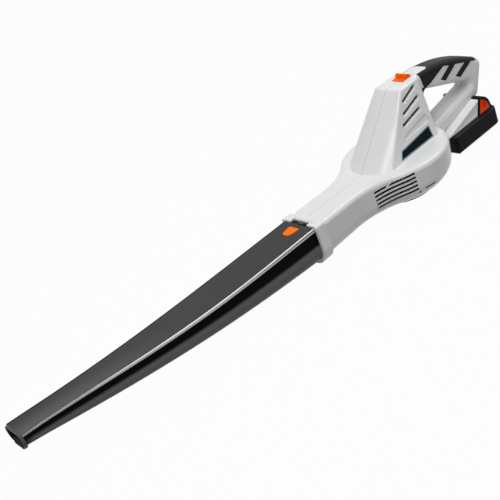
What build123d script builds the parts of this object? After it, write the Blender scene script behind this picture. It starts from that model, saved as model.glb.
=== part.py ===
from build123d import *
from math import atan2, cos, degrees, hypot, radians, sin
import os

os.makedirs("parts", exist_ok=True)

# Driving dimensions in millimetres.
# X runs along the tool with the nozzle tip at -X, and Z is up.
# The origin is on the fan axis at the rest face.

# Fan housing: a flat round pan with a snout
pan_top = 64.0
pan_height = 54.0
pan_radius = 82.0
pan_taper = 6.0
snout_front = -184.0
snout_half_width = 34.5
snout_height = 62.0
snout_overrun = 20.0
flare_radius = 100.0
pan_low_fillet = 28.0
pan_top_fillet = 7.0
wall = 2.6

# Motor tower on the pan
tower_height = 87.0
tower_front = -70.0
tower_lean = 91.0
tower_base_half_width = 43.0
tower_top_half_width = 26.0
tower_base_bow = 21.0
tower_top_bow = 3.0
tower_base_rear = 58.0
tower_top_rear = 66.0
tower_rear_narrowing = 2.0
tower_front_radius = 5.0
tower_rear_radius = 6.0
tower_top_fillet = 4.0
tower_root = 8.0

# Handle loop, with heights above the pan top
handle_half_width = 19.0
handle_round = 9.0
handle_corner_radius = 12.0
grip_start = (50.0, 86.0)
grip_crest = (140.0, 75.0)
grip_end = (206.0, 43.0)
strut_rear = (181.0, -5.0)
strut_root = (62.0, -28.0)
gap_front_top = (73.0, 60.0)
gap_rear_top = (166.0, 26.0)
gap_rear_low = (171.0, 17.0)
gap_front_low = (76.0, 1.0)
gap_corner_radius = 7.0
gap_end_radius = 3.5
grip_hollow_floor = 28.0
grip_hollow_wall = 5.0

# Soft grip skin
grip_depth = 1.5
grip_proud = 0.4
grip_bar_width = 11.0
tongue_end = 98.0
tongue_half_width = 14.0
tongue_corner = 8.0
tongue_floor = 72.0

# Battery foot and its slide rail
foot_front = 76.0
foot_rear = 151.0
foot_slant = 9.0
foot_floor = -24.0
foot_rear_top = -2.0
foot_half_width = 34.0
foot_round = 3.0
foot_panel_margin = 3.5
foot_panel_depth = 0.8
rail_front = 88.0
rail_neck_half_width = 10.0
rail_head_half_width = 15.0
rail_neck_height = 6.0
rail_head_height = 6.5
slide_clearance = 0.35
terminal_thickness = 3.0
contact_spread = 8.0
contact_size = (12.0, 1.0, 3.0)

# Battery pack
battery_front = 90.0
battery_rear = 191.0
battery_half_width = 37.0
cheek_inset = 1.0
battery_height = 34.0
battery_seam = 15.0
battery_chamfer = 5.0
battery_wall = 2.4
battery_gap = 0.4
hump_top = 0.8
hump_flat = 4.0
hump_rear = 180.0
hump_channel_floor = -13.5
cell_diameter = 18.2
cell_length = 65.0
cell_count = 5
cell_pitch = 18.35
hump_bulge = (0.72, 0.68)
channel_clearance = 1.5
channel_wall = 2.0
button_depth = 6.0
button_proud = 0.8
button_travel = 3.0
button_clearance = 0.35
button_margin = 1.2
button_rear_margin = 5.0
button_bulge = 0.68
flange_reach = 1.0
flange_thickness = 1.2
catch_thickness = 1.2
catch_height = 6.0
catch_drop = 14.0
catch_lead = 5.0
catch_tail = 14.0
hook_length = 3.0
hook_reach = 1.4
cell_stand = 2.0
board_thickness = 1.6

# Nozzle tube and its socket collar
collar_length = 16.0
collar_proud = 1.5
collar_low_radius = 28.0
collar_high_radius = 4.0
collar_sleeve_length = 9.0
collar_sleeve_wall = 2.2
socket_half_width = 27.8
socket_radius = 23.0
socket_high_radius = 2.0
socket_depth = 24.0
tube_half_width = 31.4
tube_height = 58.0
tube_drop = 1.0
tube_wall = 2.2
tip_front = -673.0
tip_half_width = 20.5
tip_height = 18.0
tip_rise = 18.0
rim_length = 8.0
rim_proud = 1.8
rim_deep = 3.0
lip_length = 3.0
lip_height = 3.0
lip_half_width = 11.0
ridge_radius = 1.1
ridge_drop = 4.6
press_clearance = 0.1
notch_bar = 1.5
notch_length = 11.5
notch_slot = 4.5
notch_lip = 1.2
notch_half_width = 17.0
dimple_radius = 2.8
dimple_depth = 0.8
dimple_step = 5.0
shoulder = 3.0
shield_gap = 8.0
shield_length = 19.0
shield_half_width = 10.0
shield_waist_half_width = 8.5
shield_tip_half_width = 5.0
shield_straight = 13.3
shield_corner = 2.0
shield_proud = 0.8
leaf_thickness = 1.2
leaf_half_width = 6.0
leaf_drop = 0.2
leaf_lead = 8.0
nose_half_width = 5.0
nose_play = 1.5
nose_sink = 1.0

# Motor, fan and bearings
plate_radius = 74.0
plate_thickness = 3.0
motor_radius = 18.0
motor_wall = 1.8
motor_length = 38.0
bell_height = 9.0
bell_wall = 3.0
bell_window = (8.0, 8.0, 3.4)
can_floor = 2.5
bearing_boss_wall = 3.0
motor_screw_circle = 12.5
motor_screw_head_radius = 2.6
motor_screw_head_height = 2.0
shaft_radius = 2.5
bearing_radius = 6.5
bearing_length = 5.0
running_clearance = 0.05
armature_radius = 12.0
armature_length = 20.0
armature_gap = 9.0
armature_slot_count = 5
commutator_radius = 6.0
commutator_length = 8.0
magnet_thickness = 3.0
magnet_gap_width = 10.0
shaft_hole_clearance = 1.0
fan_radius = 62.0
fan_eye_radius = 40.0
fan_hub_radius = 9.0
fan_height = 34.0
fan_gap = 4.0
blade_count = 9
blade_thickness = 1.8
blade_root_radius = 25.0
blade_bow = (42.0, 7.0)
blade_sweep = 24.0
fan_disc_thickness = 2.0
eye_ring_thickness = 1.8
nut_height = 5.0
nut_radius = 5.0
nut_sides = 6

# Intake grille under the pan
intake_radius = 42.0
grille_radius = 50.0
grille_foot_radius = 46.0
grille_floor = 3.0
grille_wall = 4.0
grille_spigot = 8.0
grille_foot_round = 2.0
grille_hub_radius = 12.0
grille_slot_width = 5.0
grille_ring_pitch = 10.0
grille_spoke_count = 6
grille_spoke_width = 5.0

# Switch, screws and vents
switch_front = 46.0
switch_length = 18.0
switch_half_width = 10.5
switch_travel = 6.0
switch_recess = 1.2
switch_slot_half_width = 4.0
switch_stem_length = 6.0
switch_stem_lead = 5.0
switch_ridge_height = 7.6
switch_height = 14.0
switch_width = 16.0
switch_wall = 0.6
tab_size = (1.0, 5.0, 7.0)
tab_spread = 5.0
board_x = 39.0
board_size = (28.0, 34.0)
board_stand = 2.0
board_stand_radius = 2.5
board_stand_margin = 4.0
screw_radius = 1.5
screw_head_radius = 3.0
screw_head_height = 2.4
screw_seat = 10.0
boss_radius = 4.6
drive_size = (4.4, 2.4, 0.9)
vent_width = 3.6
vent_frame_width = 7.5
label_depth = 0.8
panel_depth = 1.5
fit_clearance = 0.3

# Values worked out from those above
pan_bottom = pan_top - pan_height
collar_front = snout_front - collar_length
foot_floor_z = pan_top + foot_floor
cheek = battery_half_width - cheek_inset
plate_top = pan_top - wall
plate_bottom = plate_top - plate_thickness
motor_top = plate_top + motor_length
fan_top = plate_bottom - fan_gap
fan_bottom = fan_top - fan_height
side_reach = 60.0
far = 400.0


def save(part, name):
    export_step(part, f"parts/{name}.step")


def at_height(point, base=pan_top):
    return (point[0], point[1] + base)


def through_y(sketch, reach=far):
    """Extrude a side-view sketch, drawn in X and Z, both ways along Y."""
    return extrude(Plane.XZ * sketch, reach, both=True)


def slanted_slot(start, end, width):
    """A side-view slot with round ends between two points."""
    dx = end[0] - start[0]
    dz = end[1] - start[1]
    middle = ((start[0] + end[0]) / 2, (start[1] + end[1]) / 2)
    return Pos(*middle) * Rot(0, 0, degrees(atan2(dz, dx))) * SlotCenterToCenter(hypot(dx, dz), width)


def side_half(solid, side):
    """Keep the half of a solid on the given side of the centre plane."""
    return solid & (Pos(0, side * far, 0) * Box(4 * far, 2 * far, 4 * far))


# Pan: the outline is a disc with a snout, joined by concave flares
def pan_outline(inset):
    front = snout_front - snout_overrun
    snout = Pos(front / 2, 0) * Rectangle(-front, 2 * (snout_half_width - inset))
    outline = Circle(pan_radius - inset) + snout
    corners = outline.vertices().filter_by(lambda v: front + 1 < v.X < 0)
    return fillet(corners, flare_radius + inset)


def pan_solid(inset):
    """The pan narrows downwards, and its floor falls towards the snout."""
    top = pan_top - inset
    front = snout_front - inset
    body = extrude(Plane.XY.offset(top) * pan_outline(inset), -2 * pan_height, taper=pan_taper)
    fall = degrees(atan2(snout_height - pan_height, -snout_front))
    below = Pos(0, 0, pan_bottom + inset) * Rot(0, -fall, 0) * Pos(0, 0, -far / 2) * Box(3 * far, far, far)
    ahead = Pos(front - far / 2, 0, 0) * Box(far, far, far)
    body = body - below - ahead
    floor = body.faces().sort_by(Axis.Z)[0]
    low = floor.edges().filter_by(lambda e: e.center().X > front + 0.1)
    body = fillet(low, pan_low_fillet - inset)
    lid = body.faces().sort_by(Axis.Z)[-1]
    high = lid.edges().filter_by(lambda e: e.center().X > front + 0.1)
    return fillet(high, pan_top_fillet - inset)


# Tower: a loft of bowed sections that narrow and lean back as they rise
def tower_section(share, inset):
    front = tower_front + tower_lean * share + inset
    bow = tower_base_bow + (tower_top_bow - tower_base_bow) * share
    half = tower_base_half_width + (tower_top_half_width - tower_base_half_width) * share - inset
    rear = tower_base_rear + (tower_top_rear - tower_base_rear) * share - inset
    rear_half = half - tower_rear_narrowing
    corner = front + bow
    outline = [
        ThreePointArc((corner, half), (front, 0), (corner, -half)),
        Line((corner, -half), (rear, -rear_half)),
        Line((rear, -rear_half), (rear, rear_half)),
        Line((rear, rear_half), (corner, half)),
    ]
    section = make_face(outline)
    section = fillet(section.vertices().sort_by(Axis.X)[:2], tower_front_radius - inset)
    return fillet(section.vertices().sort_by(Axis.X)[-2:], tower_rear_radius - inset)


def tower_solid(inset):
    shares = (0, 0.5, (tower_height - inset) / tower_height)
    sections = [Plane.XY.offset(pan_top + tower_height * s) * tower_section(s, inset) for s in shares]
    body = loft(sections)
    crown = body.faces().sort_by(Axis.Z)[-1]
    body = fillet(crown.edges(), tower_top_fillet - inset)
    root = extrude(Plane.XY.offset(pan_top - tower_root) * tower_section(0, inset), tower_root)
    return body + root


# Handle: a loop with a finger gap, cut from the side and rounded all along
def handle_profile():
    start, crest, end = at_height(grip_start), at_height(grip_crest), at_height(grip_end)
    rear, root = at_height(strut_rear), at_height(strut_root)
    outline = make_face(
        [ThreePointArc(start, crest, end), Line(end, rear), Line(rear, root), Line(root, start)]
    )
    corners = outline.vertices().filter_by(lambda v: v.X > foot_rear)
    return fillet(corners, handle_corner_radius)


def finger_gap():
    points = [at_height(p) for p in (gap_front_top, gap_rear_top, gap_rear_low, gap_front_low)]
    gap = make_face(Polyline(*points, close=True))
    front = gap.vertices().sort_by(Axis.X)[:2]
    gap = fillet(front, gap_corner_radius)
    rear = gap.vertices().sort_by(Axis.X)[-2:]
    return fillet(rear, gap_end_radius)


def handle_solid(inset):
    half = handle_half_width - inset
    profile = handle_profile()
    gap = finger_gap()
    if inset:
        profile = offset(profile, -inset, kind=Kind.INTERSECTION)
        gap = offset(gap, inset)
    bar = through_y(profile - gap, half)
    rims = bar.edges().filter_by(lambda e: abs(abs(e.center().Y) - half) < 0.01)
    rims = rims.filter_by(lambda e: e.bounding_box().size.Y < 0.01 and e.center().X > strut_root[0])
    return fillet(rims, handle_round - inset)


# Foot: a wedge under the lower strut that carries the battery, with a sunk panel on each cheek
def foot_solid():
    wedge = make_face(
        Polyline(
            (foot_front, foot_floor_z),
            (foot_rear, foot_floor_z),
            (foot_rear + foot_slant, pan_top + foot_rear_top),
            close=True,
        )
    )
    body = through_y(wedge, foot_half_width)
    slope = body.faces().sort_by(Axis.Z)[-1]
    long_edges = slope.edges().filter_by(lambda e: abs(e.center().Y) > foot_half_width / 2)
    body = fillet(long_edges, foot_round)
    panel = offset(wedge, -foot_panel_margin, kind=Kind.INTERSECTION)
    middle = foot_half_width - foot_panel_depth
    return body - (through_y(panel, side_reach) - through_y(panel, middle))


def rail_space(grow):
    """The tee-shaped space of the battery rail, open to the rear."""
    length = foot_rear + foot_slant - rail_front
    middle = rail_front + length / 2
    neck_top = foot_floor_z + rail_neck_height - grow
    head_top = neck_top + rail_head_height + 2 * grow
    neck_height = neck_top - foot_floor_z + 1
    neck = Box(length, 2 * (rail_neck_half_width + grow), neck_height)
    head = Box(length, 2 * (rail_head_half_width + grow), head_top - neck_top)
    neck = Pos(middle, 0, neck_top - neck_height / 2) * neck
    return neck + Pos(middle, 0, (neck_top + head_top) / 2) * head


# Battery catch: a leaf in each cheek of the pack, hooked into the foot's rear face
catch_z = pan_top - catch_drop
catch_y = cheek + button_proud - button_depth - fit_clearance - catch_thickness / 2
catch_front = foot_rear - catch_lead
catch_rear = foot_rear + catch_tail


def catch_solid(side, grow):
    """The leaf with its hook, or the space that it needs."""
    arm = Box(catch_rear - catch_front + 2 * grow, catch_thickness + 2 * grow, catch_height + 2 * grow)
    hook = Box(hook_length + 2 * grow, hook_reach + 2 * grow, catch_height + 2 * grow)
    hook_y = catch_y + (catch_thickness + hook_reach) / 2
    arm = Pos((catch_front + catch_rear) / 2, side * catch_y, catch_z) * arm
    return arm + Pos(catch_front + hook_length / 2, side * hook_y, catch_z) * hook


pan = pan_solid(0)
tower = tower_solid(0)
handle = handle_solid(0)
outer = pan + tower + handle + foot_solid()

pan_hollow = pan_solid(wall)
tower_hollow = tower_solid(wall)
grip_hollow = handle_solid(grip_hollow_wall) & (
    Pos(0, 0, pan_top + grip_hollow_floor + far) * Box(4 * far, 4 * far, 2 * far)
)
hollow = pan_hollow + tower_hollow + grip_hollow

# Screw pillars between the two halves
screw_places = [
    (snout_front + 27, pan_top - 9),
    (28, pan_top + 38),
    (46, pan_top + 14),
    (grip_end[0] - 14, pan_top + 28),
    (gap_front_low[0] + 6, pan_top - 6),
]


def along_y(x, z, radius, low, high):
    """A round bar along Y between two values of Y."""
    return Pos(x, (low + high) / 2, z) * Rot(90, 0, 0) * Cylinder(radius, high - low)


pillars = [along_y(x, z, boss_radius, -far / 2, far / 2) for x, z in screw_places]
shell = outer - hollow
for pillar in pillars:
    shell = shell + (pillar & outer)
for x, z in screw_places:
    shell = shell - along_y(x, z, screw_head_radius + fit_clearance, screw_seat, far / 2)
    shell = shell - along_y(x, z, screw_radius, -screw_seat - 1, screw_seat)

# Openings of the shell: intake hole, battery rail, catches and the switch track
shell = shell - Pos(0, 0, pan_bottom) * Cylinder(intake_radius, pan_height / 2)
shell = shell - rail_space(slide_clearance)
for side in (-1, 1):
    shell = shell - catch_solid(side, slide_clearance)
tower_top = pan_top + tower_height
track_length = switch_length + switch_travel + 2 * fit_clearance
track_middle = switch_front - fit_clearance + track_length / 2
track = Box(track_length, 2 * (switch_half_width + fit_clearance), 2 * switch_recess)
track = Pos(track_middle, 0, tower_top) * track
stem_middle = switch_front + switch_stem_lead
slot_length = switch_stem_length + switch_travel + 2 * fit_clearance
slot = Box(slot_length, 2 * (switch_slot_half_width + fit_clearance), 4 * wall)
shell = shell - track - Pos(stem_middle + switch_travel / 2, 0, tower_top) * slot

# Tower vents in sunk frames and the sunk panel below them, on both sides
vent_ends = [((21, 71), (49, 79.5)), ((13, 55.5), (48, 64)), ((4, 42), (42, 48.5))]
panel_points = [(-8, 23), (52, 25), (49, 38), (0, 31)]
panel = make_face(Polyline(*[at_height(p) for p in panel_points], close=True))
sunk = through_y(panel, side_reach)
for start, end in vent_ends:
    frame = slanted_slot(at_height(start), at_height(end), vent_frame_width)
    sunk = sunk + through_y(frame, side_reach)
shell = shell - (sunk - tower_solid(panel_depth))
for start, end in vent_ends:
    vent = slanted_slot(at_height(start), at_height(end), vent_width)
    shell = shell - through_y(vent, side_reach)

# Label plate on the right side, set in a shallow recess
label_points = [(-27, 2.5), (45.5, 2), (45, 20), (-19.5, 14.5)]
label_face = make_face(Polyline(*[at_height(p) for p in label_points], close=True))
label_skin = tower - tower_solid(label_depth)
shell = shell - side_half(through_y(label_face, side_reach) & label_skin, -1)
label_area = offset(label_face, -fit_clearance / 2)
label_plate = side_half(through_y(label_area, side_reach) & label_skin, -1)

# Five curved-wall vents on each flare of the pan
flare_vent_top = -10.0
flare_vent_pitch = 6.6
flare_vent_width = 4.2
flare_vent_tilt = 6.0
flare_vent_count = 5
flare_vent_reach = 20.0
flare_start = Vector(-90, -38)
flare_stop = Vector(-37, -73)
flare_chord = flare_stop - flare_start
flare_middle = (flare_start + flare_stop) * 0.5
for side in (1, -1):
    along = Vector(flare_chord.X, -side * flare_chord.Y, 0).normalized()
    outward = Vector(along.Y * side, -along.X * side, 0) * -1
    for row in range(flare_vent_count):
        z = pan_top + flare_vent_top - row * flare_vent_pitch
        place = Plane((flare_middle.X, -side * flare_middle.Y, z), x_dir=along, z_dir=outward)
        tilt = flare_vent_tilt * side * -1
        vent = SlotOverall(flare_chord.length, flare_vent_width, rotation=tilt)
        shell = shell - extrude(place * vent, flare_vent_reach, both=True)

# A short slot and a round hole low on the bowl of the pan, on both sides
bowl_slot_turn = 103.0
bowl_hole_turn = 116.0
bowl_slot_size = (19.0, 3.0)
bowl_hole_radius = 2.0
bowl_radius = 72.0
bowl_slot_drop = 37.5
bowl_hole_drop = 40.5
bowl_reach = 8.0
for side in (1, -1):
    for turn, depth, shape in (
        (bowl_slot_turn, bowl_slot_drop, SlotOverall(*bowl_slot_size)),
        (bowl_hole_turn, bowl_hole_drop, Circle(bowl_hole_radius)),
    ):
        outward = Vector(cos(radians(turn)), side * sin(radians(turn)), 0)
        origin = outward * bowl_radius + Vector(0, 0, pan_top - depth)
        place = Plane(origin, x_dir=(-outward.Y, outward.X, 0), z_dir=outward)
        shell = shell - extrude(place * shape, bowl_reach, both=True)

# Soft grip: a skin let into the handle, with two slanted bars on each side
grip_core = handle_solid(grip_depth)
grip_skin = handle_solid(-grip_proud) - grip_core
band_points = [(70, 96), (72, 84), (75, 60), (79, 60), (122, 73), (181, 51), (192, 47), (196, 60), (150, 96)]
band = make_face(Polyline(*[at_height(p) for p in band_points], close=True))
bar_ends = [((145, 68), (115, 54)), ((176, 55), (146, 43.5))]
bar_lean = 35.0
tail_points = [(65.5, 64), (79, 64), (78, 30), (72, 30)]
tail = make_face(Polyline(*[at_height(p) for p in tail_points], close=True))
tongue = RectangleRounded(2 * (tongue_end - grip_start[0]), 2 * tongue_half_width, tongue_corner)
tongue = extrude(Plane.XY.offset(pan_top + tongue_floor) * Pos(grip_start[0], 0) * tongue, side_reach)
grip_area = through_y(band, side_reach) - tongue + through_y(tail, side_reach)
for bar_top, bar_low in bar_ends:
    end_half = Vector(grip_bar_width / 2, 0).rotate(Axis.Z, -bar_lean)
    corners = [Vector(*at_height(p)) + end_half * s for p, s in ((bar_top, 1), (bar_top, -1))]
    corners += [Vector(*at_height(p)) + end_half * s for p, s in ((bar_low, -1), (bar_low, 1))]
    grip_area = grip_area + through_y(make_face(Polyline(*corners, close=True)), side_reach)
grip = grip_skin & grip_area
shell = shell - (grip_area & (handle - grip_core))

for name, side in (("left", 1), ("right", -1)):
    save(side_half(shell, side), f"housing_{name}")
    save(side_half(grip, side), f"grip_{name}")
save(label_plate, "label_plate")

# Housing screws, all in from the left side
screws = []
for x, z in screw_places:
    shank = along_y(x, z, screw_radius, -screw_seat, screw_seat)
    head = along_y(x, z, screw_head_radius, screw_seat, screw_seat + screw_head_height)
    drive = Pos(x, screw_seat + screw_head_height, z)
    cross = Box(*drive_size) + Rot(0, 90, 0) * Box(*drive_size)
    screws.append(shank + head - drive * cross)
save(Compound(children=screws), "housing_screws")


# Duct sections: flat on top, deeply rounded below
def duct_section(x, half_width, top, height, low_radius, high_radius):
    face = Rectangle(2 * half_width, height)
    face = fillet(face.vertices().sort_by(Axis.Y)[:2], low_radius)
    face = fillet(face.vertices().sort_by(Axis.Y)[-2:], high_radius)
    return Plane.YZ.offset(x) * Pos(0, top - height / 2) * face


socket_top = pan_top - wall - press_clearance - collar_sleeve_wall
socket_height = snout_height - 2 * (wall + press_clearance + collar_sleeve_wall)


def socket_space(x, length, shrink):
    height = socket_height - 2 * shrink
    half = socket_half_width - shrink
    low_radius = socket_radius - shrink
    section = duct_section(x, half, socket_top - shrink, height, low_radius, socket_high_radius)
    return extrude(section, length)


# Collar: a band in front of the snout with a sleeve that plugs into it
band_section = duct_section(
    collar_front,
    snout_half_width + collar_proud,
    pan_top + collar_proud,
    snout_height + 2 * collar_proud,
    collar_low_radius,
    collar_high_radius,
)
sleeve = pan_solid(wall + press_clearance)
sleeve = sleeve & (Pos(snout_front + collar_sleeve_length / 2, 0, 0) * Box(collar_sleeve_length, far, far))
collar = extrude(band_section, collar_length) + sleeve
collar = collar - socket_space(collar_front - 1, collar_length + collar_sleeve_length + 2, 0)
notch_x = collar_front + notch_bar + notch_length / 2
notch_depth = pan_top - socket_top + socket_high_radius
notch = Pos(notch_x, 0, pan_top) * Box(notch_length, 2 * notch_half_width, 2 * notch_depth)
scoop_radius = notch_length - notch_slot
scoop_x = collar_front + notch_bar + notch_length
scoop_z = pan_top + collar_proud - scoop_radius
scoop_reach = notch_half_width + 1
notch = notch - along_y(scoop_x, scoop_z, scoop_radius, -scoop_reach, scoop_reach)
lip_cut = Box(2 * (notch_bar + 1), 2 * notch_half_width, far)
notch = notch + Pos(collar_front, 0, socket_top + notch_lip + far / 2) * lip_cut
slot_x = collar_front + notch_bar + notch_slot / 2
dimple_y = -notch_half_width - dimple_step
dimple = Pos(notch_x, dimple_y, pan_top + collar_proud) * Cylinder(dimple_radius, 2 * dimple_depth)
collar = collar - notch - dimple
save(collar, "outlet_collar")

# Nozzle tube: a spigot in the collar, a long flattening duct, a rim at the tip and a scraper lip
tube_back = collar_front - fit_clearance
tube_front = tip_front + rim_length
tube_top = pan_top - tube_drop
tip_top = pan_top + tip_rise

tube_low_round = 0.42
tube_high_round = 0.08
rim_low_round = 0.47
rim_high_round = 0.42
rim_edge = 1.2

# Stations along the tube: share of its length, then shares of the change from socket to tip
tube_stations = [
    (0, 0, 0, 0),
    (0.33, 0.0, -0.03, 0.33),
    (0.64, 0.52, 0.27, 0.6),
    (0.86, 0.98, 0.71, 0.79),
    (1, 1, 1, 1),
]


def tube_sections(inset):
    sections = []
    for along, narrow, rise, flat in tube_stations:
        half = tube_half_width + (tip_half_width - tube_half_width) * narrow - inset
        top = tube_top + (tip_top - tube_top) * rise - inset
        height = tube_height + (tip_height - tube_height) * flat - 2 * inset
        x = tube_back + (tube_front - tube_back) * along
        sections.append((x, half, top, height))
    return sections


def tube_body(inset):
    faces = []
    for x, half, top, high in tube_sections(inset):
        faces.append(duct_section(x, half, top, high, tube_low_round * high, tube_high_round * high))
    return loft(faces)


tube_inside = tube_body(tube_wall) & (Pos(tube_back - shoulder - far, 0, 0) * Box(2 * far, far, far))
spigot = socket_space(tube_back - shoulder, shoulder + socket_depth, fit_clearance)
spigot_bore = socket_space(tube_back - 2 * shoulder, socket_depth + 3 * shoulder, fit_clearance + tube_wall)
rim_height = tip_height + rim_proud + rim_deep
rim_section = (tip_front, tip_half_width + rim_proud, tip_top + rim_proud, rim_height)
rim_rounds = (rim_low_round * rim_height, rim_high_round * rim_height)
rim = extrude(duct_section(*rim_section, *rim_rounds), rim_length)
rim = fillet(rim.faces().sort_by(Axis.X)[0].edges(), rim_edge)
bore_height = tip_height - 2 * tube_wall
bore_section = (tip_front - 1, tip_half_width - tube_wall, tip_top - tube_wall, bore_height)
bore_rounds = (rim_low_round * bore_height, rim_high_round * bore_height)
rim_bore = extrude(duct_section(*bore_section, *bore_rounds), rim_length + 2)
lip_z = tip_top - tip_height - rim_deep
lip = Pos(tip_front + rim_length / 2, 0, lip_z) * Box(rim_length + lip_length, 2 * lip_half_width, lip_height)
tube = tube_body(0) + spigot + rim + lip - tube_inside - spigot_bore - rim_bore

# Two round ridges along each top edge, one on the rounded corner and one on the side below it
for side in (-1, 1):
    corner_rings = []
    side_rings = []
    for x, half, top, high in tube_sections(0):
        cut_in = (1 - cos(radians(45))) * tube_high_round * high
        across = Plane.YZ.offset(x)
        corner_rings.append(across * Pos(side * (half - cut_in), top - cut_in) * Circle(ridge_radius))
        drop = ridge_drop * high / tube_height
        side_rings.append(across * Pos(side * half, top - drop) * Circle(ridge_radius))
    tube = tube + (loft(corner_rings) - tube_inside) + (loft(side_rings) - tube_inside)

# Nozzle release: a shield-shaped button in the tube's top over a springy catch
shield_back = tube_back - shield_gap
shield_points = [
    (shield_back, shield_half_width),
    (shield_back, -shield_half_width),
    (shield_back - shield_straight, -shield_waist_half_width),
    (shield_back - shield_length, -shield_tip_half_width),
    (shield_back - shield_length, shield_tip_half_width),
    (shield_back - shield_straight, shield_waist_half_width),
]
shield = make_face(Polyline(*shield_points, close=True))
shield = fillet(shield.vertices(), shield_corner)
leaf_top = socket_top - fit_clearance - tube_wall - leaf_drop
button_low = leaf_top + fit_clearance
nozzle_button = extrude(Plane.XY.offset(button_low) * shield, tube_top + shield_proud - button_low)
nozzle_button = fillet(nozzle_button.faces().sort_by(Axis.Z)[-1].edges(), 0.8 * shield_proud)
flange_low = tube_top - tube_wall - flange_reach - flange_thickness
flange = extrude(Plane.XY.offset(flange_low) * offset(shield, flange_reach), flange_thickness)
nozzle_button = nozzle_button + flange
shield_space = Plane.XY.offset(tube_top - 2 * tube_wall) * offset(shield, fit_clearance)
shield_space = extrude(shield_space, 4 * tube_wall)
tube = tube - shield_space

leaf_front = shield_back - shield_length - leaf_lead
leaf_back = notch_x + notch_length
leaf_place = Pos((leaf_front + leaf_back) / 2, 0, leaf_top - leaf_thickness / 2)
nozzle_catch = leaf_place * Box(leaf_back - leaf_front, 2 * leaf_half_width, leaf_thickness)
nose_length = notch_slot - nose_play
nose_height = pan_top - nose_sink - leaf_top
nose = Box(nose_length, 2 * nose_half_width, nose_height)
nozzle_catch = nozzle_catch + Pos(slot_x, 0, leaf_top + nose_height / 2) * nose
root_length = 4.0
root = Box(root_length, 2 * leaf_half_width, far)
root = Pos(leaf_front + root_length / 2, 0, leaf_top - leaf_thickness + far / 2) * root
nozzle_catch = nozzle_catch + (root & tube_inside)
nose_hole_width = 2 * (nose_half_width + fit_clearance)
nose_hole = Box(notch_slot, nose_hole_width, 2 * (pan_top - leaf_top) + leaf_thickness)
tube = tube - Pos(slot_x, 0, pan_top) * nose_hole
save(tube, "nozzle_tube")
save(nozzle_button, "nozzle_release_button")
save(nozzle_catch, "nozzle_catch")

# Intake grille: a dish with rings of arc slots and a flat hub to rest on
dish = loft(
    [Circle(grille_foot_radius), Plane.XY.offset(pan_bottom) * Circle(grille_radius)], ruled=True
)
dish = fillet(dish.edges().sort_by(Axis.Z)[0], grille_foot_round)
spigot_radius = intake_radius - fit_clearance
dish = dish + Pos(0, 0, pan_bottom) * Cylinder(spigot_radius, 2 * grille_spigot)
dish = dish - (pan - Pos(0, 0, pan_bottom) * Cylinder(spigot_radius, pan_height / 2))
dish = dish - Pos(0, 0, grille_floor + far / 2) * Cylinder(intake_radius - grille_wall, far)
hub = Pos(0, 0, grille_floor) * Cylinder(grille_hub_radius, 2 * grille_floor)
dish = dish + hub
spokes = Sketch()
for index in range(grille_spoke_count):
    turn = index * 360 / grille_spoke_count
    spoke = Pos(grille_radius / 2, 0) * Rectangle(grille_radius, grille_spoke_width)
    spokes = spokes + Rot(0, 0, turn) * spoke
ring_radius = grille_hub_radius + grille_slot_width
while ring_radius + grille_slot_width < intake_radius:
    ring = Circle(ring_radius + grille_slot_width) - Circle(ring_radius)
    dish = dish - extrude(ring - spokes, grille_floor + 1)
    ring_radius += grille_ring_pitch
save(dish, "intake_grille")

# Motor plate: closes the pan under the tower and carries the motor and control board
plate = Pos(0, 0, (plate_top + plate_bottom) / 2) * Cylinder(plate_radius, plate_thickness)
boss_outer = bearing_radius + bearing_boss_wall
plate = plate - Pos(0, 0, plate_top) * Cylinder(boss_outer + fit_clearance, 4 * plate_thickness)
motor_screw_places = [(motor_screw_circle, 0), (-motor_screw_circle, 0)]
for x, y in motor_screw_places:
    plate = plate - Pos(x, y, plate_top) * Cylinder(screw_radius, 4 * plate_thickness)
for dx in (-1, 1):
    for dy in (-1, 1):
        stand = Cylinder(board_stand_radius, board_stand)
        stand_x = board_x + dx * (board_size[0] / 2 - board_stand_margin)
        stand_y = dy * (board_size[1] / 2 - board_stand_margin)
        plate = plate + Pos(stand_x, stand_y, plate_top + board_stand / 2) * stand
save(plate, "motor_plate")

# Motor can with its front bearing boss
can = Pos(0, 0, plate_top + motor_length / 2) * Cylinder(motor_radius, motor_length)
can_space = Cylinder(motor_radius - motor_wall, motor_length)
can = can - Pos(0, 0, plate_top + motor_length / 2 + can_floor) * can_space
boss_drop = 0.8 * bearing_length
can = can + Pos(0, 0, plate_top - boss_drop / 2) * Cylinder(boss_outer, boss_drop)
front_bearing_z = plate_top - boss_drop + bearing_length / 2
can = can - Pos(0, 0, front_bearing_z) * Cylinder(bearing_radius, bearing_length)
can = can - Pos(0, 0, plate_top) * Cylinder(shaft_radius + shaft_hole_clearance, 4 * can_floor)
for x, y in motor_screw_places:
    can = can - Pos(x, y, plate_top) * Cylinder(screw_radius, 4 * can_floor)
save(can, "motor_can")

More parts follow.
